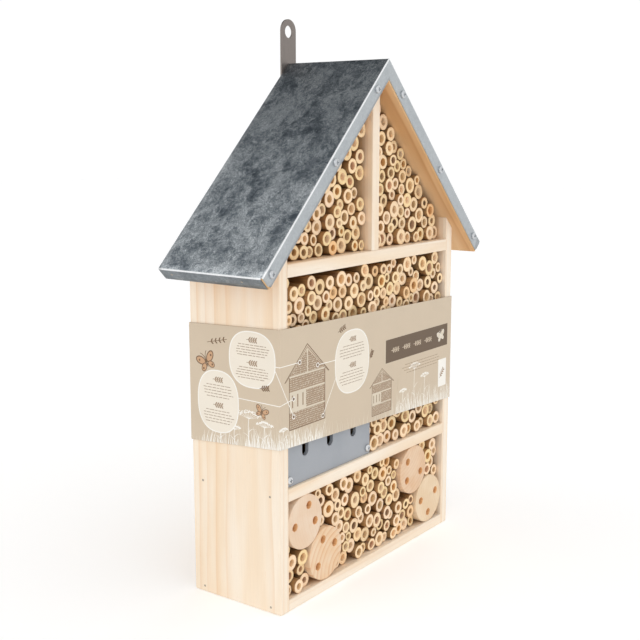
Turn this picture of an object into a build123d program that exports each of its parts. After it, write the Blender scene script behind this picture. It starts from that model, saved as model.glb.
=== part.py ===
from build123d import *
import math
import os
import random

import numpy as np

# Wall-hung insect hotel: a pine house with shelves full of bamboo tubes, four drilled logs, a butterfly
# chamber behind a slotted plate, a folded galvanised roof and a loose card band around the middle.
# Millimetres, +Z up. The front faces -Y. The origin is at the centre of the underside of the house.

# Carcass
body_width = 250.0
body_depth = 87.0
board = 10.0
bottom_thickness = 9.0
back_thickness = 4.0
lower_shelf_z = 87.0
middle_shelf_z = 180.0
gable_floor_z = 256.0
gable_divider_width = 10.0
chamber_divider_width = 10.0
chamber_divider_offset = 2.5
cleat_width = 10.0
cleat_depth = 12.0

# Roof; the headroom is from the gable floor up to the roof boards at the inner faces of the sides
roof_slope = 44.5
gable_headroom = 19.32
eave_overhang = 33.0
roof_front_overhang = 11.5
roof_board_thickness = 12.0
sheet_thickness = 0.6
flange_depth = 11.5
flange_corner_gap = 2.0
flange_corner_cut = 2.5

# Hanger
strap_width = 19.0
strap_thickness = 1.6
strap_rise = 35.0
strap_length = 98.0
strap_hole_diameter = 10.0
strap_hole_drop = 10.0
strap_screw_pitch = 24.0
strap_screw_edge = 10.0

# Butterfly plate
plate_thickness = 3.0
plate_clearance = 0.25
plate_setback = 0.5
slot_width = 8.0
slot_pitch = 32.2
slot_count = 3
slot_bottom_margin = 20.0
slot_top_margin = 14.0
plate_screw_inset = 3.8
plate_screw_margin = 5.6

# Screws and nails
screw_head_diameter = 6.2
screw_head_height = 2.1
screw_head_rounding = 1.47
screw_recess_length = 3.0
screw_recess_width = 0.9
screw_recess_depth = 1.1
screw_shank_diameter = 3.0
plate_screw_length = 12.0
roof_screw_length = 16.0
strap_screw_length = 15.0
ridge_screw_distance = (29.0, 33.0)
middle_screw_share = (0.48, 0.54)
eave_screw_distance = (9.0, 15.0)
flange_screw_depth = 5.5
nail_head_diameter = 2.0
nail_head_height = 0.8
nail_shank_diameter = 1.2
carcass_nail_length = 25.0
back_nail_length = 16.0
roof_nail_length = 20.0
roof_nail_tip_margin = 1.5
eave_nail_length = 12.0
nail_edge_distance = 10.0
back_nail_spread = 2 / 3
hole_clearance = 0.05

# Bamboo tubes and drilled logs
tube_radius_range = (3.6, 7.3)
tube_radius_usual = 5.5
gable_radius_range = (4.0, 7.2)
gable_radius_usual = 5.9
bore_share_range = (0.42, 0.60)
tube_gap = 0.12
tube_recess = 2.0
gable_recess = 5.5
recess_spread = 4.5
jumble_share = 0.3
jumble_height = 9.0
misses_to_stop = 7
tube_seeds = {"bottom": 21, "middle": 2, "top": 3, "gable_left": 4, "gable_right": 5}
log_diameter = 43.5
log_hole_diameter = 6.4
log_hole_ring = 13.0
log_hole_length = 60.0
log_recess = 1.0
log_hole_angles = {
    "upper_left": (69, 184, 348),
    "lower_left": (23, 107, 218),
    "upper_right": (136, 217, 340),
    "lower_right": (20, 176, 270),
}

# Card band
band_thickness = 0.5
band_clearance = 0.4
band_top_z = 214.8
band_bottom_z = 121.6
band_top_fall = (0.024, 0.038)
band_bottom_fall = (0.041, 0.069)

# How far a cut runs past the faces that it goes through, and how near two places count as the same
cut_past = 1.0
same_place = 0.01
touch_slack = 1e-6

half_width = body_width / 2
inner_half_width = half_width - board
front_y = -body_depth / 2
back_y = body_depth / 2
panel_y = back_y - back_thickness
roof_front_y = front_y - roof_front_overhang
slope = math.radians(roof_slope)
roof_half_width = half_width + eave_overhang
slope_length = roof_half_width / math.cos(slope)
roof_build_up = sheet_thickness + roof_board_thickness
ridge_rise = inner_half_width * math.tan(slope) + roof_build_up / math.cos(slope)
ridge_z = gable_floor_z + board + gable_headroom + ridge_rise
plate_front_y = front_y + screw_head_height + plate_setback
plate_back_y = plate_front_y + plate_thickness
chamber_left = -inner_half_width
chamber_right = -chamber_divider_offset
chamber_bottom = lower_shelf_z + board
chamber_top = middle_shelf_z


def roof_point(along, depth, side=1):
    """A point in X and Z, this far down the slope from the ridge and this deep under the outer surface."""
    x = along * math.cos(slope) - depth * math.sin(slope)
    z = ridge_z - along * math.sin(slope) - depth * math.cos(slope)
    return (side * x, z)


def ridge_point(depth):
    """The point on the centre line where two layers this deep under the outer surface meet."""
    return (0, ridge_z - depth / math.cos(slope))


def underside_z(x):
    """Height of the underside of the roof boards."""
    return ridge_point(roof_build_up)[1] - abs(x) * math.tan(slope)


def panel(outline, y_front, y_back):
    """A flat panel with this outline in X and Z."""
    face = make_face(Polyline(*outline, close=True))
    return extrude(Plane.XZ.offset(-y_back) * face, y_back - y_front)


def block(x_low, x_high, y_low, y_high, z_low, z_high):
    """A rectangular block between two corners."""
    size = (x_high - x_low, y_high - y_low, z_high - z_low)
    centre = ((x_low + x_high) / 2, (y_low + y_high) / 2, (z_low + z_high) / 2)
    return Pos(*centre) * Box(*size)


def rod(start, direction, radius, length):
    """A round bar from a point along a direction."""
    plane = Plane(origin=start, z_dir=direction)
    return extrude(plane * Circle(radius), length)


def pan_screw(seat, direction, length):
    """A pan-head screw whose head stands on the seat and whose shank runs along the direction."""
    into = Vector(*direction).normalized()
    plane = Plane(origin=Vector(*seat) - into * screw_head_height, z_dir=into)
    head = extrude(plane * Circle(screw_head_diameter / 2), screw_head_height)
    rim = head.edges().sort_by(lambda edge: (edge.center() - plane.origin).dot(into))[0]
    head = fillet(rim, screw_head_rounding)
    slot = Rectangle(screw_recess_length, screw_recess_width)
    recess = extrude(plane * (slot + Rot(0, 0, 90) * slot), screw_recess_depth)
    shank = rod(seat, into, screw_shank_diameter / 2, length)
    return head + shank - recess


def screw_hole(seat, direction, length):
    """The hole that a screw's shank fills."""
    return rod(seat, direction, screw_shank_diameter / 2 + hole_clearance, length + hole_clearance)


def pin_nail(seat, direction, length):
    """A pin nail driven flush: its head is sunk under the seat."""
    head = rod(seat, direction, nail_head_diameter / 2, nail_head_height)
    return head + rod(seat, direction, nail_shank_diameter / 2, length)


def nail_hole(seat, direction, length):
    """The hole that a flush nail fills."""
    head = rod(seat, direction, nail_head_diameter / 2 + hole_clearance, nail_head_height)
    return head + rod(seat, direction, nail_shank_diameter / 2 + hole_clearance, length + hole_clearance)


def shelf_middles():
    """Height of the middle of each board between the sides."""
    return [bottom_thickness / 2] + [z + board / 2 for z in (lower_shelf_z, middle_shelf_z, gable_floor_z)]


def carcass_nails():
    """Seat and direction of each nail through the sides into the ends of the boards between them."""
    reach = back_y - nail_edge_distance
    places = [(side, y, z) for side in (-1, 1) for z in shelf_middles() for y in (-reach, reach)]
    return [((side * half_width, y, z), (-side, 0, 0)) for side, y, z in places]


def back_nails():
    """Seat and direction of each nail through the back panel into the boards' rear edges."""
    reach = inner_half_width * back_nail_spread
    return [((x, back_y, z), (0, -1, 0)) for z in shelf_middles() for x in (-reach, reach)]


def roof_nails():
    """Seat and direction of each nail through the roof boards into the tops of the sides."""
    reach = back_y - nail_edge_distance
    tip_x = inner_half_width + roof_nail_tip_margin
    along = (tip_x + (sheet_thickness + roof_nail_length) * math.sin(slope)) / math.cos(slope)
    nails = []
    for side in (-1, 1):
        x, z = roof_point(along, sheet_thickness, side)
        for y in (-reach, reach):
            nails.append(((x, y, z), (-side * math.sin(slope), 0, -math.cos(slope))))
    return nails


def eave_nails():
    """Seat and direction of each nail through the eave flanges into the roof boards' ends."""
    reach = back_y - nail_edge_distance
    nails = []
    for side in (-1, 1):
        x, z = roof_point(slope_length, flange_depth / 2, side)
        for y in (-reach, reach):
            nails.append(((x, y, z), (-side * math.cos(slope), 0, math.sin(slope))))
    return nails


def roof_screws():
    """Seat and direction of each screw through the front flange into the roof boards' ends."""
    screws = []
    distances = zip((-1, 1), ridge_screw_distance, middle_screw_share, eave_screw_distance)
    for side, first, share, last in distances:
        for along in (first, slope_length * share, slope_length - last):
            x, z = roof_point(along, flange_screw_depth, side)
            screws.append(((x, roof_front_y, z), (0, 1, 0)))
    return screws


def plate_screws():
    """Seat and direction of each of the plate's corner screws."""
    xs = (chamber_left + plate_screw_inset, chamber_right - plate_screw_inset)
    zs = (chamber_bottom + plate_screw_margin, chamber_top - plate_screw_margin)
    return [((x, plate_front_y, z), (0, 1, 0)) for x in xs for z in zs]


def strap_screws():
    """Seat and direction of the strap's two screws, which reach the gable divider's rear edge."""
    low = ridge_z + strap_rise - strap_length + strap_screw_edge
    return [((0, back_y + strap_thickness, low + n * strap_screw_pitch), (0, -1, 0)) for n in range(2)]


def drill(solid, holes):
    """The solid with each of the holes cut out."""
    for hole in holes:
        solid = solid - hole
    return solid


def nail_holes(places, length):
    return [nail_hole(seat, direction, length) for seat, direction in places]


def screw_holes(places, length):
    return [screw_hole(seat, direction, length) for seat, direction in places]


def make_side_board(side):
    """A side board, bevelled at the top to carry the roof board."""
    inner, outer = side * inner_half_width, side * half_width
    outline = [(inner, 0), (outer, 0), (outer, underside_z(outer)), (inner, underside_z(inner))]
    solid = panel(outline, front_y, back_y)
    near = [place for place in carcass_nails() if place[0][0] * side > 0]
    top = [place for place in roof_nails() if place[0][0] * side > 0]
    return drill(solid, nail_holes(near, carcass_nail_length) + nail_holes(top, roof_nail_length))


def make_shelf(z_low, thickness):
    """A board between the sides, in front of the back panel."""
    solid = block(-inner_half_width, inner_half_width, front_y, panel_y, z_low, z_low + thickness)
    middle = z_low + thickness / 2
    side_nails = [place for place in carcass_nails() if abs(place[0][2] - middle) < same_place]
    rear_nails = [place for place in back_nails() if abs(place[0][2] - middle) < same_place]
    holes = nail_holes(side_nails, carcass_nail_length) + nail_holes(rear_nails, back_nail_length)
    return drill(solid, holes)


def make_back_board():
    """The thin panel that closes the back, between the sides and under the roof."""
    outline = [
        (-inner_half_width, 0),
        (inner_half_width, 0),
        (inner_half_width, underside_z(inner_half_width)),
        (0, underside_z(0)),
        (-inner_half_width, underside_z(inner_half_width)),
    ]
    solid = panel(outline, panel_y, back_y)
    holes = nail_holes(back_nails(), back_nail_length) + screw_holes(strap_screws(), strap_screw_length)
    return drill(solid, holes)


def make_gable_divider():
    """The upright that parts the gable in two, pointed at the top to meet both roof boards."""
    half = gable_divider_width / 2
    floor = gable_floor_z + board
    shoulder = underside_z(half)
    outline = [(-half, floor), (half, floor), (half, shoulder), (0, underside_z(0)), (-half, shoulder)]
    solid = panel(outline, front_y, panel_y)
    return drill(solid, screw_holes(strap_screws(), strap_screw_length))


def make_chamber_divider():
    """The upright at the butterfly chamber's right, which the plate is screwed to."""
    left = chamber_right - chamber_divider_width
    solid = block(left, chamber_right, plate_back_y, panel_y, chamber_bottom, chamber_top)
    return drill(solid, screw_holes(plate_screws(), plate_screw_length))


def make_plate_cleat():
    """The batten at the butterfly chamber's left, which the plate is screwed to."""
    right = chamber_left + cleat_width
    solid = block(chamber_left, right, plate_back_y, plate_back_y + cleat_depth, chamber_bottom, chamber_top)
    return drill(solid, screw_holes(plate_screws(), plate_screw_length))


def slot_centres():
    """X of each slot's centre line."""
    middle = (chamber_left + chamber_right) / 2
    return [middle + (n - (slot_count - 1) / 2) * slot_pitch for n in range(slot_count)]


def make_butterfly_plate():
    """The slotted plate in front of the butterfly chamber."""
    solid = block(
        chamber_left + plate_clearance,
        chamber_right,
        plate_front_y,
        plate_back_y,
        chamber_bottom + plate_clearance,
        chamber_top - plate_clearance,
    )
    slot_low = chamber_bottom + slot_bottom_margin
    slot_high = chamber_top - slot_top_margin
    for x in slot_centres():
        slot = SlotOverall(slot_high - slot_low, slot_width, rotation=90)
        middle = (x, plate_back_y + cut_past, (slot_low + slot_high) / 2)
        plane = Plane(origin=middle, x_dir=(1, 0, 0), z_dir=(0, -1, 0))
        solid = solid - extrude(plane * slot, plate_thickness + 2 * cut_past)
    return drill(solid, screw_holes(plate_screws(), plate_screw_length))


def make_roof_board(side):
    """One of the two boards under the roof sheet, mitred at the ridge."""
    end = slope_length - sheet_thickness
    outline = [
        ridge_point(sheet_thickness),
        roof_point(end, sheet_thickness, side),
        roof_point(end, roof_build_up, side),
        ridge_point(roof_build_up),
    ]
    solid = panel(outline, roof_front_y + sheet_thickness, back_y)
    near = [place for place in roof_nails() if place[0][0] * side > 0]
    ends = [place for place in eave_nails() if place[0][0] * side > 0]
    front = [place for place in roof_screws() if place[0][0] * side > 0]
    holes = nail_holes(near, roof_nail_length) + nail_holes(ends, eave_nail_length)
    return drill(solid, holes + screw_holes(front, roof_screw_length))


def make_roof_sheet():
    """The folded sheet: two slopes, one flange across the front and one along each eave."""
    sheet = None
    for side in (-1, 1):
        slope_outline = [
            (0, ridge_z),
            roof_point(slope_length, 0, side),
            roof_point(slope_length, sheet_thickness, side),
            ridge_point(sheet_thickness),
        ]
        front_outline = [
            (0, ridge_z),
            roof_point(slope_length, 0, side),
            roof_point(slope_length, flange_depth - flange_corner_cut, side),
            roof_point(slope_length - flange_corner_cut, flange_depth, side),
            ridge_point(flange_depth),
        ]
        eave_outline = [
            roof_point(slope_length, 0, side),
            roof_point(slope_length, flange_depth, side),
            roof_point(slope_length - sheet_thickness, flange_depth, side),
            roof_point(slope_length - sheet_thickness, 0, side),
        ]
        pieces = (
            panel(slope_outline, roof_front_y, back_y),
            panel(front_outline, roof_front_y, roof_front_y + sheet_thickness),
            panel(eave_outline, roof_front_y + flange_corner_gap, back_y),
        )
        for piece in pieces:
            sheet = piece if sheet is None else sheet + piece
    holes = nail_holes(eave_nails(), eave_nail_length) + screw_holes(roof_screws(), roof_screw_length)
    return drill(sheet, holes)


def make_hanger_strap():
    """The metal strap behind the gable, with a round end and a hole to hang the house by."""
    radius = strap_width / 2
    top = ridge_z + strap_rise
    bottom = top - strap_length
    flat = block(-radius, radius, back_y, back_y + strap_thickness, bottom, top - radius)
    flat = flat + rod((0, back_y, top - radius), (0, 1, 0), radius, strap_thickness)
    hole_start = (0, back_y - cut_past, top - strap_hole_drop)
    hole = rod(hole_start, (0, 1, 0), strap_hole_diameter / 2, strap_thickness + 2 * cut_past)
    return drill(flat, [hole] + screw_holes(strap_screws(), strap_screw_length))


def log_places():
    """Centre in X and Z of each drilled log: one on the floor, the other on it and against the wall."""
    radius = log_diameter / 2
    room = lower_shelf_z - bottom_thickness - log_diameter - 2 * tube_gap
    touch = log_diameter + tube_gap
    rise = min(room, touch)
    shift = math.sqrt(touch**2 - rise**2)
    low = bottom_thickness + tube_gap + radius
    wall = inner_half_width - tube_gap - radius
    return {
        "upper_left": (-wall, low + rise),
        "lower_left": (-wall + shift, low),
        "upper_right": (wall - shift, low + rise),
        "lower_right": (wall, low),
    }


def log_holes(name):
    """Centre in X and Z of each hole of one log."""
    x, z = log_places()[name]
    turns = [math.radians(angle) for angle in log_hole_angles[name]]
    return [(x + log_hole_ring * math.cos(turn), z + log_hole_ring * math.sin(turn)) for turn in turns]


def make_log(name):
    """A peeled log as deep as the house, with three nesting holes in its end."""
    x, z = log_places()[name]
    start = front_y + log_recess
    solid = rod((x, start, z), (0, 1, 0), log_diameter / 2, panel_y - start)
    bits = [rod((u, start, w), (0, 1, 0), log_hole_diameter / 2, log_hole_length) for u, w in log_holes(name)]
    return drill(solid, bits)


def resting_places(radius, walls, rounds):
    """Every centre at which a tube touches two neighbours and clears all the others.

    A wall is (nx, nz, offset), with nx * x + nz * z = offset on its face and more inside.
    """
    spots = []
    near_walls = [(nx, nz, offset + radius + tube_gap) for nx, nz, offset in walls]
    for i, (ax, az, ao) in enumerate(near_walls):
        for bx, bz, bo in near_walls[i + 1:]:
            cross = ax * bz - az * bx
            if abs(cross) > touch_slack:
                spots.append(((ao * bz - bo * az) / cross, (ax * bo - bx * ao) / cross))
    if rounds:
        data = np.array(rounds)
        centres, reach = data[:, :2], data[:, 2] + radius + tube_gap
        for nx, nz, offset in near_walls:
            off = offset - centres @ np.array([nx, nz])
            for k in np.nonzero(np.abs(off) < reach)[0]:
                half = math.sqrt(reach[k] ** 2 - off[k] ** 2)
                foot = centres[k] + off[k] * np.array([nx, nz])
                step = half * np.array([-nz, nx])
                spots += [tuple(foot + step), tuple(foot - step)]
        gaps = np.linalg.norm(centres[:, None] - centres[None], axis=2)
        first, second = np.nonzero(np.triu(gaps < reach[:, None] + reach[None], 1))
        distance = gaps[first, second]
        along = (distance**2 + reach[first] ** 2 - reach[second] ** 2) / (2 * distance)
        half = np.sqrt(np.maximum(reach[first] ** 2 - along**2, 0))
        unit = (centres[second] - centres[first]) / distance[:, None]
        foot = centres[first] + unit * along[:, None]
        normal = np.stack([-unit[:, 1], unit[:, 0]], axis=1) * half[:, None]
        spots += [tuple(p) for p in np.concatenate([foot + normal, foot - normal])]
    spots = np.array(spots)
    clear = np.ones(len(spots), bool)
    for nx, nz, offset in near_walls:
        clear &= spots @ np.array([nx, nz]) >= offset - touch_slack
    if rounds:
        spots = spots[clear]
        distances = np.linalg.norm(spots[:, None] - centres[None], axis=2)
        return spots[(distances >= reach[None] - touch_slack).all(axis=1)]
    return spots[clear]


def fill_with_tubes(walls, seed, recess, sizes, usual, logs=()):
    """Drops tubes of mixed sizes into a compartment: (x, z, radius, bore radius, front Y) of each.

    A tube drops into the lowest place, or now and then into any place not much higher.
    """
    dice = random.Random(seed)
    rounds = [(x, z, log_diameter / 2) for x, z in logs]
    tubes = []
    misses = 0
    while misses < misses_to_stop:
        radius = dice.triangular(*sizes, usual)
        bore = radius * dice.uniform(*bore_share_range)
        start = front_y + recess + dice.uniform(0, recess_spread)
        jumbled = dice.random() < jumble_share
        spots = resting_places(radius, walls, rounds)
        if len(spots) == 0:
            misses += 1
            continue
        misses = 0
        spots = spots[np.argsort(spots[:, 1])]
        low = spots[spots[:, 1] < spots[0, 1] + jumble_height]
        x, z = (float(value) for value in low[dice.randrange(len(low)) if jumbled else 0])
        rounds.append((x, z, radius))
        tubes.append((x, z, radius, bore, start))
    return tubes


def box_walls(x_low, x_high, z_low, z_high):
    """The four walls of a rectangular compartment."""
    return [(1, 0, x_low), (-1, 0, -x_high), (0, 1, z_low), (0, -1, -z_high)]


def gable_walls(side):
    """The walls of one half of the gable: floor, side, divider and the roof board's underside."""
    roof_wall = (-side * math.sin(slope), -math.cos(slope), -math.cos(slope) * underside_z(0))
    half = gable_divider_width / 2
    return [(0, 1, gable_floor_z + board), (-side, 0, -inner_half_width), (side, 0, half), roof_wall]


def tube_groups():
    """Each compartment's tubes."""
    wall = inner_half_width
    logs = list(log_places().values())
    tier = (tube_recess, tube_radius_range, tube_radius_usual)
    gable = (gable_recess, gable_radius_range, gable_radius_usual)
    bottom_walls = box_walls(-wall, wall, bottom_thickness, lower_shelf_z)
    middle_walls = box_walls(chamber_right, wall, chamber_bottom, middle_shelf_z)
    top_walls = box_walls(-wall, wall, middle_shelf_z + board, gable_floor_z)
    return {
        "tubes_bottom_tier": fill_with_tubes(bottom_walls, tube_seeds["bottom"], *tier, logs),
        "tubes_middle_tier": fill_with_tubes(middle_walls, tube_seeds["middle"], *tier),
        "tubes_top_tier": fill_with_tubes(top_walls, tube_seeds["top"], *tier),
        "tubes_gable_left": fill_with_tubes(gable_walls(-1), tube_seeds["gable_left"], *gable),
        "tubes_gable_right": fill_with_tubes(gable_walls(1), tube_seeds["gable_right"], *gable),
    }


def make_tube(x, z, radius, bore, start):
    """One bamboo tube, open in front and stopped by the back panel."""
    ring = Circle(radius) - Circle(bore)
    return extrude(Plane(origin=(x, start, z), z_dir=(0, 1, 0)) * ring, panel_y - start)


def band_edge_z(middle, fall, x, y):
    """Height of the card band's edge, which falls towards the right and the back."""
    return middle - fall[0] * x - fall[1] * y


def make_card_band():
    """The card band: four upright walls a little clear of the house, with slightly sloping edges."""
    inner_x = half_width + band_clearance
    inner_y = body_depth / 2 + band_clearance
    outer_x = inner_x + band_thickness
    outer_y = inner_y + band_thickness
    corners = [(-outer_x, -outer_y), (outer_x, -outer_y), (outer_x, outer_y), (-outer_x, outer_y)]
    bottom = [(x, y, band_edge_z(band_bottom_z, band_bottom_fall, x, y)) for x, y in corners]
    top = [(x, y, band_edge_z(band_top_z, band_top_fall, x, y)) for x, y in corners]
    faces = [make_face(Polyline(*bottom, close=True)), make_face(Polyline(*top, close=True))]
    for n in range(4):
        nxt = (n + 1) % 4
        faces.append(make_face(Polyline(bottom[n], bottom[nxt], top[nxt], top[n], close=True)))
    solid = Solid(Shell(faces))
    return solid - block(-inner_x, inner_x, -inner_y, inner_y, 0, ridge_z)


def make_nodes():
    """Every named piece, as a list of solids."""
    nodes = {
        "side_board_left": make_side_board(-1),
        "side_board_right": make_side_board(1),
        "bottom_board": make_shelf(0, bottom_thickness),
        "lower_shelf": make_shelf(lower_shelf_z, board),
        "middle_shelf": make_shelf(middle_shelf_z, board),
        "gable_floor": make_shelf(gable_floor_z, board),
        "back_board": make_back_board(),
        "gable_divider": make_gable_divider(),
        "chamber_divider": make_chamber_divider(),
        "plate_cleat": make_plate_cleat(),
        "butterfly_plate": make_butterfly_plate(),
        "roof_board_left": make_roof_board(-1),
        "roof_board_right": make_roof_board(1),
        "roof_sheet": make_roof_sheet(),
        "hanger_strap": make_hanger_strap(),
        "card_band": make_card_band(),
    }
    nodes = {name: [solid] for name, solid in nodes.items()}
    for name in log_places():
        nodes[f"drilled_log_{name}"] = [make_log(name)]
    nodes["plate_screws"] = [pan_screw(*place, plate_screw_length) for place in plate_screws()]
    nodes["roof_screws"] = [pan_screw(*place, roof_screw_length) for place in roof_screws()]
    nodes["strap_screws"] = [pan_screw(*place, strap_screw_length) for place in strap_screws()]
    nodes["carcass_nails"] = [pin_nail(*place, carcass_nail_length) for place in carcass_nails()]
    nodes["back_nails"] = [pin_nail(*place, back_nail_length) for place in back_nails()]
    nodes["roof_nails"] = [pin_nail(*place, roof_nail_length) for place in roof_nails()]
    nodes["eave_nails"] = [pin_nail(*place, eave_nail_length) for place in eave_nails()]
    for name, tubes in tube_groups().items():
        nodes[name] = [make_tube(*tube) for tube in tubes]
    return nodes


os.makedirs("parts", exist_ok=True)
for node, pieces in make_nodes().items():
    solids = [solid for piece in pieces for solid in piece.solids()]
    export_step(Compound(children=solids), f"parts/{node}.step")
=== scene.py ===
"""Insect hotel: a pine house of bamboo tubes and drilled logs, with a plate, a metal roof and a card band."""

import math
import random

import bmesh
import bpy
import numpy as np
from mathutils import Euler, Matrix, Vector, geometry, noise


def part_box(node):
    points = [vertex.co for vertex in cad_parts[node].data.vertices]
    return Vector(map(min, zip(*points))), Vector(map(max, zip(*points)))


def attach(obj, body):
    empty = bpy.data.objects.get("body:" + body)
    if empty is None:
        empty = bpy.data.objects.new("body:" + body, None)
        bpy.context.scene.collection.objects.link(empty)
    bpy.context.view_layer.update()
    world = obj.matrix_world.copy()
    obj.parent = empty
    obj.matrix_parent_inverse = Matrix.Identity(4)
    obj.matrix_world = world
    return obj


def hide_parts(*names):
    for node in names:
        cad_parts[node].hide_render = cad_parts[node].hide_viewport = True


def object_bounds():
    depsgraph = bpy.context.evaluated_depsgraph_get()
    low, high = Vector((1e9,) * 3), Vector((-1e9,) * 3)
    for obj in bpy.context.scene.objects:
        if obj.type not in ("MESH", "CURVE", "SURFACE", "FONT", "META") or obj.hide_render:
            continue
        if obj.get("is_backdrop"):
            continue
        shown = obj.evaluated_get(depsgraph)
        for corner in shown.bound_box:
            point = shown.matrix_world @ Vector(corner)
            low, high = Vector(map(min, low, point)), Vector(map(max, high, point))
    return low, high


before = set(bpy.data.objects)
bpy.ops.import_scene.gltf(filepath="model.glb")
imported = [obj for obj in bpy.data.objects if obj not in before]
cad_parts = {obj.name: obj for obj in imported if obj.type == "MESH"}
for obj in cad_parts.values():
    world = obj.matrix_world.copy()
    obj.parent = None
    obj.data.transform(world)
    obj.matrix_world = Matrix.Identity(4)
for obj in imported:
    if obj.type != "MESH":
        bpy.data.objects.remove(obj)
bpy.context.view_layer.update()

MM = 0.001
roof_slope = math.radians(44.5)

# ---- camera and light

camera_place = (-0.7106, -0.5078, 0.3583)
camera_azimuth = math.radians(-53.83)
camera_downward = math.radians(9.98)
lens_mm = 59.53
sensor_mm = 36.0

surroundings = 1.02
patch_direction = (0.20, 0.56, 0.81)
patch_edge, patch_full = 0.80, 0.985
patch_colour = (0.09, 0.10, 0.11, 1)


def make_camera():
    """The camera, level, looking down a little from the front left."""
    data = bpy.data.cameras.new("camera")
    data.lens = lens_mm
    data.sensor_width = sensor_mm
    camera = bpy.data.objects.new("camera", data)
    bpy.context.scene.collection.objects.link(camera)
    camera.location = camera_place
    camera.rotation_euler = Euler((math.pi / 2 - camera_downward, 0, camera_azimuth))
    bpy.context.scene.camera = camera


def area_light(name, place, target, size, power):
    """A square soft box that faces the target."""
    data = bpy.data.lights.new(name, "AREA")
    data.shape = "SQUARE"
    data.size = size
    data.energy = power
    light = bpy.data.objects.new(name, data)
    light.location = place
    light.rotation_euler = (Vector(target) - Vector(place)).to_track_quat("-Z", "Y").to_euler()
    bpy.context.scene.collection.objects.link(light)


# ---- material tools


def srgb(red, green, blue):
    """A colour given in 8-bit sRGB, as the linear values that shaders take."""

    def linear(value):
        share = value / 255
        return share / 12.92 if share <= 0.04045 else ((share + 0.055) / 1.055) ** 2.4

    return (linear(red), linear(green), linear(blue), 1.0)


class Nodes:
    """The shader nodes of a material or a world."""

    def __init__(self, owner):
        owner.use_nodes = True
        self.tree = owner.node_tree
        self.tree.nodes.clear()

    def give(self, socket, value):
        """Links a node's output to the socket, or sets the socket to a plain value."""
        if isinstance(value, bpy.types.NodeSocket):
            self.tree.links.new(value, socket)
        else:
            socket.default_value = value

    def add(self, kind, inputs=None, **settings):
        """A node of this kind, with its settings and its inputs."""
        made = self.tree.nodes.new("ShaderNode" + kind)
        for key, value in settings.items():
            setattr(made, key, value)
        for key, value in (inputs or {}).items():
            self.give(made.inputs[key], value)
        return made

    def millimetres(self, along=(0, 0, 1), scale=(1, 1, 1), shift=(0, 0, 0)):
        """Object coordinates in millimetres, turned so that this direction becomes Z, and then scaled."""
        turn = Vector(along).rotation_difference(Vector((0, 0, 1))).to_euler()
        start = self.add("TexCoord").outputs["Object"]
        inputs = {"Vector": start, "Rotation": turn, "Scale": (1 / MM,) * 3, "Location": shift}
        turned = self.add("Mapping", inputs).outputs[0]
        return turned if scale == (1, 1, 1) else self.vector("MULTIPLY", turned, scale)

    def vector(self, operation, *values, output=0):
        return self.add("VectorMath", dict(enumerate(values)), operation=operation).outputs[output]

    def scaled(self, vector, factor):
        return self.add("VectorMath", {0: vector, "Scale": factor}, operation="SCALE").outputs[0]

    def noise(self, vector, scale=1.0, detail=3.0, rough=0.5, distortion=0.0, output="Fac"):
        """Noise; three numbers as its scale stretch it."""
        if isinstance(scale, tuple):
            vector, scale = self.vector("MULTIPLY", vector, scale), 1
        inputs = {"Vector": vector, "Scale": scale, "Detail": detail, "Roughness": rough, "Distortion": distortion}
        return self.add("TexNoise", inputs).outputs[output]

    def spots(self, vector, scale):
        """The distance to the nearest of many scattered points."""
        return self.add("TexVoronoi", {"Vector": vector, "Scale": scale}).outputs["Distance"]

    def math(self, operation, *values, clamp=False):
        return self.add("Math", dict(enumerate(values)), operation=operation, use_clamp=clamp).outputs[0]

    def spread(self, value, low, high):
        """A value from 0 to 1 as a number from low to high."""
        return self.add("MapRange", {"Value": value, "To Min": low, "To Max": high}).outputs["Result"]

    def between(self, value, low, high, new_low=0.0, new_high=1.0):
        """The value's place between low and high, eased, as a number between new_low and new_high."""
        inputs = {"Value": value, "From Min": low, "From Max": high, "To Min": new_low, "To Max": new_high}
        return self.add("MapRange", inputs, interpolation_type="SMOOTHSTEP").outputs["Result"]

    def ramp(self, value, *stops, easing="LINEAR"):
        """A colour or grey for each place; stops are (place, colour or grey)."""
        made = self.add("ValToRGB", {"Fac": value})
        made.color_ramp.interpolation = easing
        elements = made.color_ramp.elements
        while len(elements) < len(stops):
            elements.new(0.5)
        for element, (place, colour) in zip(elements, stops):
            element.position = place
            element.color = colour if isinstance(colour, tuple) else (colour, colour, colour, 1)
        return made.outputs["Color"]

    def mix(self, factor, first, second, blend="MIX"):
        made = self.add("Mix", data_type="RGBA", blend_type=blend)
        for index, value in ((0, factor), (6, first), (7, second)):
            self.give(made.inputs[index], value)
        return made.outputs[2]

    def shade(self, colour, value, low, high):
        """The colour made darker or lighter: times low where the value is 0, times high where it is 1."""
        plain = colour if isinstance(colour, bpy.types.NodeSocket) else colour[:3]
        return self.scaled(plain, self.spread(value, low, high))

    def bump(self, height, distance_mm, strength=1.0, under=None):
        inputs = {"Height": height, "Distance": distance_mm * MM, "Strength": strength}
        if under is not None:
            inputs["Normal"] = under
        return self.add("Bump", inputs).outputs[0]

    def attribute(self, name):
        return self.add("Attribute", attribute_name=name).outputs["Fac"]


class Shader(Nodes):
    """A material in the making: one Principled shader and the nodes that feed it."""

    def __init__(self, name, **surface):
        self.material = bpy.data.materials.new(name)
        super().__init__(self.material)
        self.surface = self.add("BsdfPrincipled")
        self.feed(**surface)
        self.add("OutputMaterial", {"Surface": self.surface.outputs[0]})

    def feed(self, **inputs):
        """Links or sets the Principled shader's inputs, and gives the material."""
        for key, value in inputs.items():
            self.give(self.surface.inputs[key.replace("_", " ")], value)
        return self.material


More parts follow.
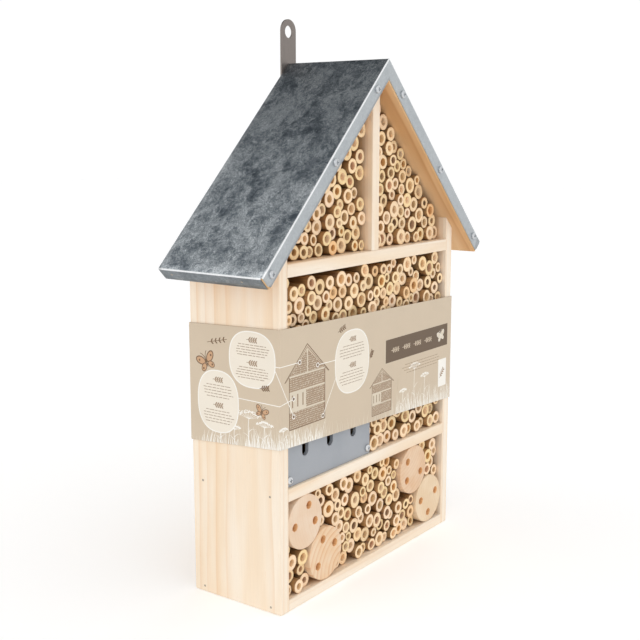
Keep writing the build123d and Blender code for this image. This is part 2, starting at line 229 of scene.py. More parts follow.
def make_world():
    """White surroundings with a darker patch high up behind the house, which the roof reflects."""
    world = bpy.data.worlds.new("studio")
    nodes = Nodes(world)
    view = nodes.add("TexCoord").outputs["Generated"]
    towards = nodes.vector("DOT_PRODUCT", view, Vector(patch_direction).normalized(), output="Value")
    colour = nodes.ramp(towards, (patch_edge, (1, 1, 1, 1)), (patch_full, patch_colour), easing="EASE")
    background = nodes.add("Background", {"Color": colour, "Strength": surroundings})
    nodes.add("OutputWorld", {"Surface": background.outputs[0]})
    bpy.context.scene.world = world


# ---- wood


def pine(name, along, heart, pale, warm, late, ring_width=3.4, contrast=0.45, drift=6.0, end_shade=0.86,
         inside=None):
    """Planed softwood. Its growth rings are cylinders along the grain around the heart, which lies off the board.

    Behind the front edge, faces that look along inside (all faces, if it is zero) get painted shade: a browner tint
    for the shade inside the house.
    """
    shader = Shader(name, Specular_IOR_Level=0.35)
    grain = shader.millimetres(along, shift=(-heart[0], -heart[1], heart[2]))
    slow = shader.noise(grain, (0.017, 0.017, 0.0035), 2, 0.5, output="Color")
    bent = shader.vector("ADD", grain, shader.scaled(shader.vector("SUBTRACT", slow, (0.5, 0.5, 0.5)), drift))
    radius = shader.vector("LENGTH", shader.vector("MULTIPLY", bent, (1, 1, 0)), output="Value")
    rings = shader.math("DIVIDE", radius, ring_width)
    year, part = shader.math("FLOOR", rings), shader.math("FRACT", rings)
    summer = shader.ramp(part, (0.0, 0.75), (0.07, 0.05), (0.5, 0.12), (0.86, 0.62), (0.97, 1.0))
    vigour = shader.add("TexWhiteNoise", {"W": year}, noise_dimensions="1D").outputs["Value"]
    dark = shader.math("MULTIPLY", summer, shader.spread(vigour, 0.35, 1.0))
    dark = shader.math("MULTIPLY", dark, contrast, clamp=True)
    tint = shader.between(shader.noise(grain, (0.045, 0.045, 0.006), 2, 0.55), 0.34, 0.66)
    fibre = shader.noise(grain, (1.9, 1.9, 0.045), 4, 0.62)
    ducts = shader.between(shader.noise(grain, (1.3, 1.3, 0.09), 1, 0.5), 0.70, 0.78)
    colour = shader.mix(dark, shader.mix(tint, pale, warm), late)
    colour = shader.shade(colour, fibre, 0.93, 1.06)
    colour = shader.mix(shader.math("MULTIPLY", ducts, 0.22), colour, late)
    facing = shader.add("NewGeometry").outputs["Normal"]
    end = shader.math("ABSOLUTE", shader.vector("DOT_PRODUCT", facing, along, output="Value"))
    colour = shader.shade(colour, shader.between(end, 0.6, 0.9), 1.0, end_shade)
    # Painted shade: behind the front edge, a browner tint for the shade that falls inside the house.
    if inside is not None:
        depth = shader.add("SeparateXYZ", {"Vector": shader.millimetres()}).outputs["Y"]
        painted_shade_share = shader.between(depth, *painted_shade_depths)
        if any(inside):
            towards = shader.vector("DOT_PRODUCT", facing, inside, output="Value")
            painted_shade_share = shader.math("MULTIPLY", painted_shade_share, shader.between(towards, 0.4, 0.8))
        colour = shader.mix(painted_shade_share, colour, srgb(238, 212, 178), blend="MULTIPLY")
    relief = shader.bump(summer, 0.035, 0.6, shader.bump(fibre, 0.05, 0.8))
    return shader.feed(Base_Color=colour, Roughness=shader.spread(fibre, 0.5, 0.72), Normal=relief)


# Depths over which the painted shade inside the house fades in.
painted_shade_depths = (-43.0, -30.0)  # millimetres along Y, from the boards' front edges inwards
pale_pine = srgb(246, 233, 215)
warm_pine = srgb(242, 221, 194)
late_pine = srgb(228, 188, 142)
# Roof board pine: a browner wood, made darker and more orange still by painted shade under the roof sheet.
shaded_roof_pale = srgb(228, 192, 148)
shaded_roof_warm = srgb(216, 172, 122)
shaded_roof_late = srgb(186, 130, 78)


# ---- reading the frame


def welded(node):
    """A copy of a CAD node's mesh with its split points joined, as a bmesh."""
    mesh = bmesh.new()
    mesh.from_mesh(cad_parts[node].data)
    bmesh.ops.remove_doubles(mesh, verts=mesh.verts, dist=0.002 * MM)
    return mesh


def solids_of(node):
    """The points of each separate solid in a CAD node, in metres."""
    mesh = welded(node)
    found, seen = [], set()
    for first in mesh.verts:
        if first in seen:
            continue
        seen.add(first)
        stack, points = [first], []
        while stack:
            vertex = stack.pop()
            points.append(tuple(vertex.co))
            for other in (edge.other_vert(vertex) for edge in vertex.link_edges):
                if other not in seen:
                    seen.add(other)
                    stack.append(other)
        found.append(np.array(points))
    mesh.free()
    return found


# ---- mesh tools


def add_piece(name, mesh, materials, nodes=(), body="house", sharp=40):
    """Puts a finished mesh in the scene as a piece that rides a body and stands for CAD nodes."""
    if isinstance(mesh, bmesh.types.BMesh):
        made = bpy.data.meshes.new(name)
        mesh.to_mesh(made)
        mesh.free()
        mesh = made
    mesh.polygons.foreach_set("use_smooth", [True] * len(mesh.polygons))
    mesh.set_sharp_from_angle(angle=math.radians(sharp))
    for material in materials:
        mesh.materials.append(material)
    piece = bpy.data.objects.new(name, mesh)
    bpy.context.scene.collection.objects.link(piece)
    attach(piece, body)
    if nodes:
        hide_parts(*nodes)
    return piece


def mesh_of(name, vertices, faces, indexes=None):
    """A mesh from points in metres and faces, with a material index for each face."""
    mesh = bpy.data.meshes.new(name)
    mesh.from_pydata([tuple(v) for v in vertices], [], [tuple(int(i) for i in f) for f in faces])
    if indexes is not None:
        mesh.polygons.foreach_set("material_index", [int(i) for i in indexes])
    return mesh


def weight_normals(piece):
    """Keeps large flat faces flat next to their rounded edges."""
    modifier = piece.modifiers.new("weighted", "WEIGHTED_NORMAL")
    modifier.keep_sharp = True
    modifier.weight = 80
    return piece


def round_edges(mesh, width_mm, segments=2, angle=25):
    """Rounds every edge of a bmesh that is sharper than the angle."""
    bmesh.ops.dissolve_limit(
        mesh, angle_limit=math.radians(1), verts=mesh.verts, edges=mesh.edges, use_dissolve_boundaries=False
    )
    edges = [e for e in mesh.edges if len(e.link_faces) == 2 and e.calc_face_angle() > math.radians(angle)]
    bmesh.ops.bevel(
        mesh, geom=edges, offset=width_mm * MM, offset_type="OFFSET", segments=segments, profile=0.5,
        affect="EDGES", clamp_overlap=True,
    )
    return mesh


def board(node, material, edge_mm=0.7):
    """A wooden board: the CAD solid's outer shape with its edges eased, as planed boards have."""
    source = welded(node)
    mesh = bmesh.new()
    for vertex in source.verts:
        mesh.verts.new(vertex.co)
    source.free()
    hull = bmesh.ops.convex_hull(mesh, input=mesh.verts)
    unused = {e for e in hull["geom_interior"] + hull["geom_unused"] if isinstance(e, bmesh.types.BMVert)}
    bmesh.ops.delete(mesh, geom=list(unused), context="VERTS")
    round_edges(mesh, edge_mm, 3)
    return weight_normals(add_piece(f"{node}_wood", mesh, [material], [node]))


# ---- boards

boards = {
    # node: (grain direction, heart across and along the grain, ring width, contrast)
    "side_board_left": ((0, 0, 1), (-60, -14, 0), 4.6, 0.50),
    "side_board_right": ((0, 0, 1), (84, 24, 90), 4.2, 0.45),
    "bottom_board": ((1, 0, 0), (-40, 60, 0), 3.2, 0.40),
    "lower_shelf": ((1, 0, 0), (-120, 40, 50), 3.0, 0.42),
    "middle_shelf": ((1, 0, 0), (-210, 30, 150), 3.0, 0.42),
    "gable_floor": ((1, 0, 0), (-230, 70, 20), 3.3, 0.36),
    "gable_divider": ((0, 0, 1), (30, 40, 10), 2.6, 0.30),
    "chamber_divider": ((0, 0, 1), (40, 60, 70), 2.8, 0.40),
    "plate_cleat": ((0, 0, 1), (-90, 30, 30), 2.8, 0.40),
}
# Faces that take the painted shade inside the house; the other boards take it on every face behind the front edge.
inner_faces = {"side_board_left": (1, 0, 0), "side_board_right": (-1, 0, 0), "bottom_board": (0, 0, 1)}
for node, (along, heart, ring_width, contrast) in boards.items():
    wood = pine(f"{node}_pine", along, heart, pale_pine, warm_pine, late_pine, ring_width, contrast,
                inside=inner_faces.get(node, (0, 0, 0)))
    board(node, wood)

for side, node in ((-1, "roof_board_left"), (1, "roof_board_right")):
    down = (side * math.cos(roof_slope), 0, -math.sin(roof_slope))
    wood = pine(f"{node}_pine", down, (50 * side, 30, 40), shaded_roof_pale, shaded_roof_warm, shaded_roof_late, 4.4, 0.55)
    board(node, wood)

ply_colours = srgb(222, 190, 145), srgb(206, 170, 122), srgb(176, 132, 84)
back_wood = pine("back_board_ply", (0, 0, 1), (120, -240, 0), *ply_colours, 9.0, 0.5, drift=60)
board("back_board", back_wood, edge_mm=0.3)


# ---- bamboo tubes

skin_points = 30
blind_share = 0.55
blind_depths = (0.005, 0.013)
node_wall_dish = 0.0006


def bamboo_skin():
    """The culm's waxy outside, with fine lines along it."""
    shader = Shader("bamboo_skin", Specular_IOR_Level=0.45)
    grain = shader.millimetres((0, 1, 0))
    lines = shader.noise(grain, (2.6, 2.6, 0.05), 3, 0.6)
    blotch = shader.noise(grain, (0.2, 0.2, 0.06), 3, 0.5)
    colour = shader.ramp(
        shader.attribute("tone"), (0.0, srgb(150, 106, 62)), (0.5, srgb(174, 130, 82)), (1.0, srgb(140, 108, 68)),
    )
    colour = shader.shade(colour, lines, 0.78, 1.14)
    colour = shader.mix(shader.between(blotch, 0.50, 0.72), colour, srgb(120, 86, 58))
    relief = shader.bump(lines, 0.05, 0.6)
    return shader.feed(Base_Color=colour, Roughness=shader.spread(lines, 0.32, 0.52), Normal=relief)


def bamboo_cut():
    """The sawn end: pale pith inside, denser and darker fibres towards the skin."""
    shader = Shader("bamboo_cut", Specular_IOR_Level=0.3)
    place = shader.millimetres((0, 1, 0))
    wall = shader.attribute("wall")
    fibres = shader.spots(shader.vector("MULTIPLY", place, (1, 1, 0.1)), 2.1)
    fibres = shader.between(fibres, 0.12, 0.42, 1.0, 0.0)
    dense = shader.between(wall, 0.05, 0.95, 0.22, 0.8)
    cloud = shader.noise(place, (0.35, 0.35, 0.35), 3, 0.55)
    saw = shader.noise(place, (0.5, 5.0, 0.5), 2, 0.5)
    body = shader.ramp(
        shader.attribute("hue"), (0.0, srgb(255, 226, 194)), (0.32, srgb(253, 224, 186)),
        (0.60, srgb(252, 224, 180)), (0.78, srgb(246, 218, 166)), (0.92, srgb(250, 216, 174)),
        (0.98, srgb(244, 200, 148)),
    )
    rim = shader.mix(0.30, body, srgb(206, 156, 98))
    across = shader.ramp(wall, (0.02, 0.0), (0.16, 1.0), (0.74, 1.0), (0.93, 0.25), (1.0, 0.0))
    colour = shader.shade(shader.mix(across, rim, body), shader.attribute("tone"), 0.92, 1.04)
    dark = shader.math("MULTIPLY", fibres, shader.math("MULTIPLY", dense, 0.45))
    colour = shader.shade(shader.mix(dark, colour, srgb(190, 142, 88)), cloud, 0.90, 1.10)
    relief = shader.bump(fibres, 0.06, 0.6, shader.bump(saw, 0.05, 0.7))
    return shader.feed(Base_Color=colour, Roughness=shader.spread(cloud, 0.62, 0.85), Normal=relief)


def bamboo_bore():
    """The hollow's papery inside, browner in some tubes than in others."""
    shader = Shader("bamboo_bore", Specular_IOR_Level=0.25, Roughness=0.8)
    grain = shader.millimetres((0, 1, 0))
    lines = shader.noise(grain, (2.2, 2.2, 0.12), 4, 0.6)
    flakes = shader.noise(grain, (0.5, 0.5, 0.3), 3, 0.6)
    colour = shader.ramp(
        shader.attribute("hollow"), (0.0, srgb(250, 222, 188)), (0.30, srgb(246, 212, 168)),
        (0.50, srgb(236, 202, 152)), (0.66, srgb(200, 164, 122)), (0.78, srgb(230, 178, 110)),
        (0.90, srgb(226, 184, 148)), (1.0, srgb(140, 106, 72)),
    )
    colour = shader.shade(colour, shader.attribute("tone"), 0.88, 1.06)
    colour = shader.shade(colour, lines, 0.78, 1.16)
    colour = shader.mix(shader.between(flakes, 0.60, 0.80), colour, srgb(136, 92, 54))
    return shader.feed(Base_Color=colour, Normal=shader.bump(lines, 0.12, 0.8))


def tube_mesh(name, tubes, rng):
    """All tubes of one compartment. Each is a closed mesh: skin, sawn end, bore, and a node wall in some."""
    angles = np.linspace(0, 2 * math.pi, skin_points, endpoint=False)
    following = np.roll(np.arange(skin_points), -1)
    vertices, faces, slots, walls = [], [], [], []
    looks = {"tone": [], "hue": [], "hollow": []}

    def dip(waves, turn):
        """Waves round the tube, from 0 at their crests to 1."""
        return (1 - np.cos(waves * (angles - turn))) / 2

    for points in tubes:
        low, high = points.min(axis=0), points.max(axis=0)
        centre_x, centre_z = (low[0] + high[0]) / 2, (low[2] + high[2]) / 2
        outer = (high[0] - low[0]) / 2
        bore = np.hypot(points[:, 0] - centre_x, points[:, 2] - centre_z).min()
        front, back = low[1], high[1]
        squash = rng.choice((0.015, 0.03, 0.05, 0.09)) * rng.uniform(0.6, 1.2)
        lobe = rng.uniform(0.0, 0.035)
        turn, turn_3 = rng.uniform(0, 2 * math.pi), rng.uniform(0, 2 * math.pi)
        shape = 1 - squash * dip(2, turn) - lobe * dip(3, turn_3)
        off = rng.uniform(0, 0.10) * (outer - bore)
        off_turn = rng.uniform(0, 2 * math.pi)
        hole = 1 - 0.8 * squash * dip(2, turn + rng.uniform(-0.3, 0.3))
        hole = hole - rng.uniform(0.0, 0.05) * dip(3, rng.uniform(0, 6))
        slant = rng.uniform(0.0, 0.05)
        slant_turn = rng.uniform(0, 2 * math.pi)
        rough = np.array([rng.uniform(-1, 1) for _ in angles])
        chips = np.array([rng.uniform(0, 1) ** 4 for _ in angles])

        def ring(share, depth, wobble=0.0, chip=0.0):
            """Points round the tube: share is 0 at the bore and 1 at the skin, depth is behind the sawn end."""
            inner_x = centre_x + off * math.cos(off_turn) + bore * hole * np.cos(angles)
            inner_z = centre_z + off * math.sin(off_turn) + bore * hole * np.sin(angles)
            x = inner_x + share * (centre_x + outer * shape * np.cos(angles) - inner_x)
            z = inner_z + share * (centre_z + outer * shape * np.sin(angles) - inner_z)
            along = (x - centre_x) * math.cos(slant_turn) + (z - centre_z) * math.sin(slant_turn) + outer
            fade = max(0.0, 1 - depth / 0.02)
            y = front + depth + slant * along * fade + wobble * rough * MM + chip * chips * MM
            return np.stack([x, y, z], axis=1)

        wall_mm = (outer - bore) / MM
        edge = min(0.16, 0.08 * wall_mm) / wall_mm
        length = back - front
        blind = rng.random() < blind_share
        stop = rng.uniform(*blind_depths)
        # points, place in the wall (0 at the bore, 1 at the skin), material: 0 skin, 1 cut, 2 bore
        rows = [
            (ring(1, length), 1, 0), (ring(1, 0.020), 1, 0), (ring(1, 0.006), 1, 0),
            (ring(1, 0.16 * MM, 0.02, 0.30), 1, 1), (ring(1 - edge, 0, 0.02, 0.16), 0.97, 1),
            (ring(0.70, 0, 0.05), 0.7, 1), (ring(0.36, 0, 0.05), 0.36, 1),
            (ring(edge, 0, 0.03, 0.10), 0.05, 1), (ring(0, 0.22 * MM, 0.05), 0, 2),
            (ring(-0.02, 0.002), 0, 2), (ring(-0.03, 0.007), 0, 2),
        ]
        rows += [(ring(0, stop), 0, 2)] if blind else [(ring(0, 0.024), 0, 2), (ring(0, length), 0, 1)]
        start = len(vertices)
        for row, wall, _ in rows:
            vertices += list(row)
            walls += [wall] * skin_points
        look = {label: rng.random() for label in looks}
        for step, (_, _, slot) in enumerate(rows[:-1]):
            first, second = start + step * skin_points, start + (step + 1) * skin_points
            faces += [(first + n, second + n, second + m, first + m) for n, m in enumerate(following)]
            slots += [slot] * skin_points
        last = start + (len(rows) - 1) * skin_points
        if blind:
            for base, centre_y, slot in ((last, front + stop + node_wall_dish, 2), (start, back, 1)):
                tip = len(vertices)
                vertices.append((centre_x, centre_y, centre_z))
                walls.append(0)
                faces += [(tip, base + n, base + m) if base == start else (tip, base + m, base + n)
                          for n, m in enumerate(following)]
                slots += [slot] * skin_points
        else:
            faces += [(last + n, start + n, start + m, last + m) for n, m in enumerate(following)]
            slots += [1] * skin_points
        for label, values in looks.items():
            values += [look[label]] * (len(vertices) - len(values))
    mesh = mesh_of(name, vertices, faces, slots)
    for label, values in {"wall": walls, **looks}.items():
        mesh.attributes.new(label, "FLOAT", "POINT").data.foreach_set("value", values)
    return mesh


bamboo = [bamboo_skin(), bamboo_cut(), bamboo_bore()]
first_tube_seed = 40
for number, node in enumerate(sorted(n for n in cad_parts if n.startswith("tubes_"))):
    tubes = sorted(solids_of(node), key=lambda tube: (round(tube[:, 2].min(), 6), round(tube[:, 0].min(), 6)))
    mesh = tube_mesh(f"{node}_bamboo", tubes, random.Random(first_tube_seed + number))
    add_piece(f"{node}_bamboo", mesh, bamboo, [node], sharp=50)


# ---- drilled logs

rim_points = 96
hole_points = 24
log_ripple = 0.12 * MM
log_ease = 0.7 * MM
hole_lip = 0.25 * MM
hole_depth = 0.058
hole_cone = 0.0015


def circle(centre, radius, count, y, rng=None, ripple=0.0):
    """Points round a circle in X and Z, at this Y, with an optional gentle ripple."""
    angles = np.linspace(0, 2 * math.pi, count, endpoint=False)
    sizes = np.full(count, radius)
    if rng is not None:
        for waves in (2, 3, 5):
            sizes -= ripple * rng.uniform(0.3, 1) * (1 + np.cos(waves * angles + rng.uniform(0, 6))) / 2
    x = centre[0] + sizes * np.cos(angles)
    z = centre[1] + sizes * np.sin(angles)
    return np.stack([x, np.full(count, y), z], axis=1)


def bridge(mesh, first, second, slot=0):
    """Joins two rows of as many vertices with faces."""
    for n in range(len(first)):
        m = (n + 1) % len(first)
        mesh.faces.new((first[n], first[m], second[m], second[n])).material_index = slot


def rows_of(mesh, rows, slot=0):
    """Vertices for each row of points, joined row by row."""
    made = [[mesh.verts.new(point) for point in row] for row in rows]
    for first, second in zip(made, made[1:]):
        bridge(mesh, first, second, slot)
    return made


def close_row(mesh, row, point, slot=0):
    """Closes a row of vertices with faces up to a point."""
    tip = mesh.verts.new(point)
    for n in range(len(row)):
        mesh.faces.new((row[n], row[(n + 1) % len(row)], tip)).material_index = slot


def log_holes(points, front, centre, radius):
    """Middle and radius of each hole in a log's front, from the CAD points around them."""
    near = points[points[:, 1] < front + 0.5 * MM][:, [0, 2]]
    inside = near[np.hypot(*(near - centre).T) < radius * 0.9]
    groups = []
    for point in inside:
        group = next((g for g in groups if np.hypot(*(np.mean(g, axis=0) - point)) < 7.5 * MM), None)
        if group is None:
            groups.append([point])
        else:
            group.append(point)
    found = []
    for group in groups:
        low, high = np.min(group, axis=0), np.max(group, axis=0)
        found.append(((low + high) / 2, (high - low).max() / 2))
    return found


def log_mesh(node, rng):
    """A turned log: eased rim, flat sawn face, drilled holes with slightly torn edges and coned ends."""
    points = solids_of(node)[0]
    low, high = points.min(axis=0), points.max(axis=0)
    centre = np.array([(low[0] + high[0]) / 2, (low[2] + high[2]) / 2])
    radius, front, back = (high[0] - low[0]) / 2, low[1], high[1]
    mesh = bmesh.new()
    state = rng.getstate()

    def rim(size, y):
        rng.setstate(state)
        return circle(centre, size, rim_points, y, rng, log_ripple)

    steps = [math.pi / 2 * n / 4 for n in range(5)]
    skin = [rim(radius - log_ease * (1 - math.sin(a)), front + log_ease * (1 - math.cos(a))) for a in steps]
    skin += [rim(radius, y) for y in (front + 0.012, front + 0.04, back - log_ease)]
    skin += [rim(radius - log_ease * (1 - math.cos(a)), back - log_ease * (1 - math.sin(a))) for a in steps[1:]]
    rows = rows_of(mesh, skin)
    mesh.faces.new(reversed(rows[-1]))
    loops = [rows[0]]
    for middle, size in log_holes(points, front, centre, radius):
        tear = rng.uniform(0.05, 0.2) * MM
        hole = [
            circle(middle, size + hole_lip, hole_points, front, rng, tear),
            circle(middle, size + 0.3 * hole_lip, hole_points, front + 0.5 * hole_lip),
        ]
        hole += [circle(middle, size, hole_points, front + y) for y in (1.4 * hole_lip, 0.006, 0.02, hole_depth)]
        made = rows_of(mesh, hole, 1)
        close_row(mesh, made[-1], (middle[0], front + hole_depth + hole_cone, middle[1]), 1)
        loops.append(made[0])
    flat = []
    for loop in loops:
        around = {edge for vertex in loop for edge in vertex.link_edges}
        flat += [e for e in around if e.verts[0] in loop and e.verts[1] in loop and len(e.link_faces) == 1]
    bmesh.ops.triangle_fill(mesh, edges=flat, use_beauty=True, use_dissolve=False, normal=(0, -1, 0))
    bmesh.ops.recalc_face_normals(mesh, faces=mesh.faces)
    return mesh


def drilled_hole(name):
    """Inside a drilled hole: the same wood in a browner orange tone."""
    shader = Shader(name, Roughness=0.8, Specular_IOR_Level=0.2)
    grain = shader.millimetres((0, 1, 0))
    fibres = shader.noise(grain, (1.2, 1.2, 0.25), 4, 0.6)
    colour = shader.ramp(fibres, (0.3, srgb(226, 166, 108)), (0.7, srgb(244, 202, 150)))
    return shader.feed(Base_Color=colour, Normal=shader.bump(fibres, 0.2, 0.8))


log_looks = {
    # node: (heart's place from the log's middle in X and Z, pale, warm, late, ring width, contrast)
    "drilled_log_upper_left": ((62, 14), srgb(234, 211, 187), srgb(230, 202, 174), srgb(220, 180, 140), 3.0, 0.30),
    "drilled_log_lower_left": ((24, -20), srgb(236, 211, 181), srgb(234, 200, 162), srgb(212, 146, 84), 5.2, 0.62),
    "drilled_log_upper_right": ((-26, 34), srgb(232, 203, 173), srgb(226, 190, 155), srgb(206, 156, 112), 3.6, 0.40),
    "drilled_log_lower_right": ((70, 22), srgb(236, 213, 182), srgb(230, 204, 170), srgb(214, 176, 130), 3.2, 0.35),
}
hole_brown = drilled_hole("drilled_hole")
for number, (node, look) in enumerate(log_looks.items()):
    (aside, above), pale, warm, late, ring_width, contrast = look
    low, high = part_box(node)
    heart = ((low.x + high.x) / 2 / MM + aside, -(low.z + high.z) / 2 / MM - above, 0)
    face = pine(f"{node}_wood", (0, 1, 0), heart, pale, warm, late, ring_width, contrast, drift=5, end_shade=1.0)
    add_piece(f"{node}_turned", log_mesh(node, random.Random(number)), [face, hole_brown], [node])


# ---- metal and painted parts

# Heights over which the painted reflection darkens the zinc towards the ridge.
ridge_reflection_heights = (285, 415)  # millimetres, from just over the eaves to the ridge


def galvanised(name, dark, middle, light, clouds=1.0, hairs=0.5, rough=(0.34, 0.56), metallic=0.85, ridge_reflection_dark=0.0):
    """Zinc-coated sheet with cloudy patina, hair-thin wisps and specks; the last argument paints a darker reflection
    up to the ridge.
    """
    shader = Shader(name, Metallic=metallic)
    place = shader.millimetres()
    swirl = shader.noise(place, 0.035, 6, 0.68, 0.6)
    fine = shader.noise(place, 0.16, 5, 0.72, 0.9)
    grainy = shader.noise(place, 0.9, 3, 0.65)
    cloud = shader.math("ADD", shader.math("MULTIPLY", swirl, 0.55), shader.math("MULTIPLY", fine, 0.45))
    cloud = shader.math("MULTIPLY_ADD", shader.math("SUBTRACT", cloud, 0.5), clouds, 0.5)
    colour = shader.shade(shader.ramp(cloud, (0.30, dark), (0.50, middle), (0.72, light)), grainy, 0.80, 1.20)
    marks = None
    for stretch, size in (((0.3, 1.0, 0.5), 0.20), ((1.0, 0.4, 0.9), 0.26), ((0.8, 0.9, 0.3), 0.40)):
        wave = shader.noise(shader.vector("MULTIPLY", place, stretch), size, 3, 0.55, 3.2)
        crest = shader.math("ABSOLUTE", shader.math("SUBTRACT", wave, 0.5))
        line = shader.between(crest, 0.003, 0.030, 1.0, 0.0)
        marks = line if marks is None else shader.math("MAXIMUM", marks, line)
    where = shader.between(shader.math("ADD", cloud, shader.math("MULTIPLY", grainy, 0.25)), 0.46, 0.74)
    speck = shader.between(shader.spots(place, 0.42), 0.04, 0.16, 1.0, 0.0)
    marks = shader.math("MULTIPLY", shader.math("MAXIMUM", shader.math("MULTIPLY", marks, where), speck), hairs)
    colour = shader.mix(marks, colour, srgb(226, 230, 232))
    height = shader.add("SeparateXYZ", {"Vector": place}).outputs["Z"]
    # Painted reflection: darker towards the ridge, lighter just over the eaves.
    colour = shader.shade(colour, shader.between(height, *ridge_reflection_heights), 1 + 0.6 * ridge_reflection_dark, 1 - ridge_reflection_dark)
    relief = shader.bump(fine, 0.03, 0.5, shader.bump(swirl, 0.25, 0.35))
    return shader.feed(Base_Color=colour, Roughness=shader.spread(fine, *rough), Normal=relief)


def plain_metal(name, colour, rough=0.3, brushed=(3, 3, 3), metallic=1.0):
    """A plated or bare metal surface with slight wear."""
    shader = Shader(name, Metallic=metallic)
    wear = shader.noise(shader.millimetres(scale=brushed), 0.5, 4, 0.6)
    tone = shader.shade(colour, wear, 0.82, 1.12)
    roughness = shader.spread(wear, rough * 0.75, rough * 1.35)
    return shader.feed(Base_Color=tone, Roughness=roughness, Normal=shader.bump(wear, 0.02, 0.6))


def painted(name, colour, shadow):
    """Satin paint on board: a faint roller texture and soft clouds of a second tone."""
    shader = Shader(name, Specular_IOR_Level=0.5, Coat_Weight=0.12, Coat_Roughness=0.35)
    place = shader.millimetres()
    peel = shader.noise(place, 0.7, 2, 0.5)
    cloud = shader.noise(place, 0.03, 3, 0.5)
    tone = shader.shade(shader.mix(shader.between(cloud, 0.35, 0.7), colour, shadow), peel, 0.97, 1.03)
    return shader.feed(Base_Color=tone, Roughness=shader.spread(peel, 0.38, 0.5), Normal=shader.bump(peel, 0.05, 0.5))


def eased_copy(node, name, material, edge_mm, segments=2):
    """The CAD solid with its edges eased."""
    mesh = round_edges(welded(node), edge_mm, segments)
    return weight_normals(add_piece(name, mesh, [material], [node], sharp=35))


flange_depth = 11.5 * MM
flange_gap = 2.0 * MM
flange_cut = 2.5 * MM
sheet_thickness = 0.6 * MM
bend = 0.9 * MM
ridge_bend = 1.6 * MM
ridge_drop = 0.45 * MM
dent_height = 0.22 * MM
dents = Vector((3.1, 7.7, 1.3))
slope_cells, slope_rows = 26, 18
bend_steps = 4
bend_angles = [math.pi / 2 * (n + 1) / bend_steps for n in range(bend_steps)]


def roof_sheet_mesh():
    """The folded sheet as one skin: two slopes, a bent flange across the front and one along each eave."""
    low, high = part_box("roof_sheet")
    half, ridge = high.x, high.z
    front, back = low.y, high.y
    length = half / math.cos(roof_slope)
    # across the house: distance from the ridge, and depth below the outer surface
    along = [(share * ridge_bend, 0) for share in (0, 0.35, 0.7, 1.0)]
    flat = length - bend - ridge_bend
    along += [(ridge_bend + flat * n / slope_cells, 0) for n in range(1, slope_cells + 1)]
    eave = [(length - bend + bend * math.sin(a), bend * (1 - math.cos(a))) for a in bend_angles]
    eave += [(length, bend + (flange_depth - bend) * n / 3) for n in (1, 2, 3)]
    # towards the front: place in Y, and depth below the outer surface
    to_front = [(back + (front + bend - back) * n / slope_rows, 0) for n in range(slope_rows + 1)]
    to_front.insert(-1, (front + flange_gap, 0))
    turn = [(front + bend - bend * math.sin(a), bend * (1 - math.cos(a))) for a in bend_angles]
    turn += [(front, bend + (flange_depth - bend) * n / 4) for n in (1, 2, 3, 4)]
    mesh = bmesh.new()

    def spot(s, depth):
        """X and Z of a point this far down the slope and this deep."""
        x = s * math.cos(roof_slope) - depth * math.sin(roof_slope)
        return x, ridge - s * math.sin(roof_slope) - depth * math.cos(roof_slope)

    def place(side, s, depth, y):
        """A vertex this far down the slope and this deep, with the ridge rounded and the slopes a little uneven."""
        start = depth * math.tan(roof_slope)
        s = start + s * (length - start) / length
        x, z = spot(s, depth)
        if depth == 0:
            z -= ridge_drop * max(0, 1 - s / (1.6 * ridge_bend)) ** 2
            edge = min(1, s / 0.02, (length - s) / 0.02, (y - front) / 0.02)
            wave = 0.5 + 0.5 * noise.noise(Vector((side * x, y, z)) * 17 + dents)
            lift = dent_height * max(0, edge) * wave
            x += lift * math.sin(roof_slope)
            z += lift * math.cos(roof_slope)
        return mesh.verts.new((side * x, y, z))

    def sheet_of(rows, bent=0, slot=0):
        """Faces between rows of vertices; the first rows of a flange are its bend, which takes material 3, the
        painted highlight.
        """
        for step, (a, b) in enumerate(zip(rows, rows[1:])):
            for n in range(len(a) - 1):
                face = mesh.faces.new((a[n], a[n + 1], b[n + 1], b[n]))
                face.material_index = 3 if step < bent else slot

    for side in (-1, 1):
        main = [[place(side, s, depth, y) for s, depth in along] for y, depth in to_front]
        sheet_of(main)
        flange = [main[-1]]
        for y, depth in turn:
            row = []
            for s, _ in along:
                cut = max(0, depth - (flange_depth - flange_cut))
                row.append(place(side, min(s, length - cut) if s > length * 0.9 else s, depth, y))
            flange.append(row)
        sheet_of(flange, bend_steps, 1)
        keep = len(to_front) - 1
        columns = [[row[-1] for row in main[:keep]]]
        for x, z in (spot(s, depth) for s, depth in eave):
            columns.append([mesh.verts.new((side * x, y, z)) for y, _ in to_front[:keep]])
        sheet_of(columns, bend_steps, 2)
    bmesh.ops.remove_doubles(mesh, verts=mesh.verts, dist=0.01 * MM)
    bmesh.ops.recalc_face_normals(mesh, faces=mesh.faces)
    top = max(mesh.faces, key=lambda face: face.calc_center_median().z)
    if top.normal.z < 0:
        bmesh.ops.reverse_faces(mesh, faces=mesh.faces)
    return mesh


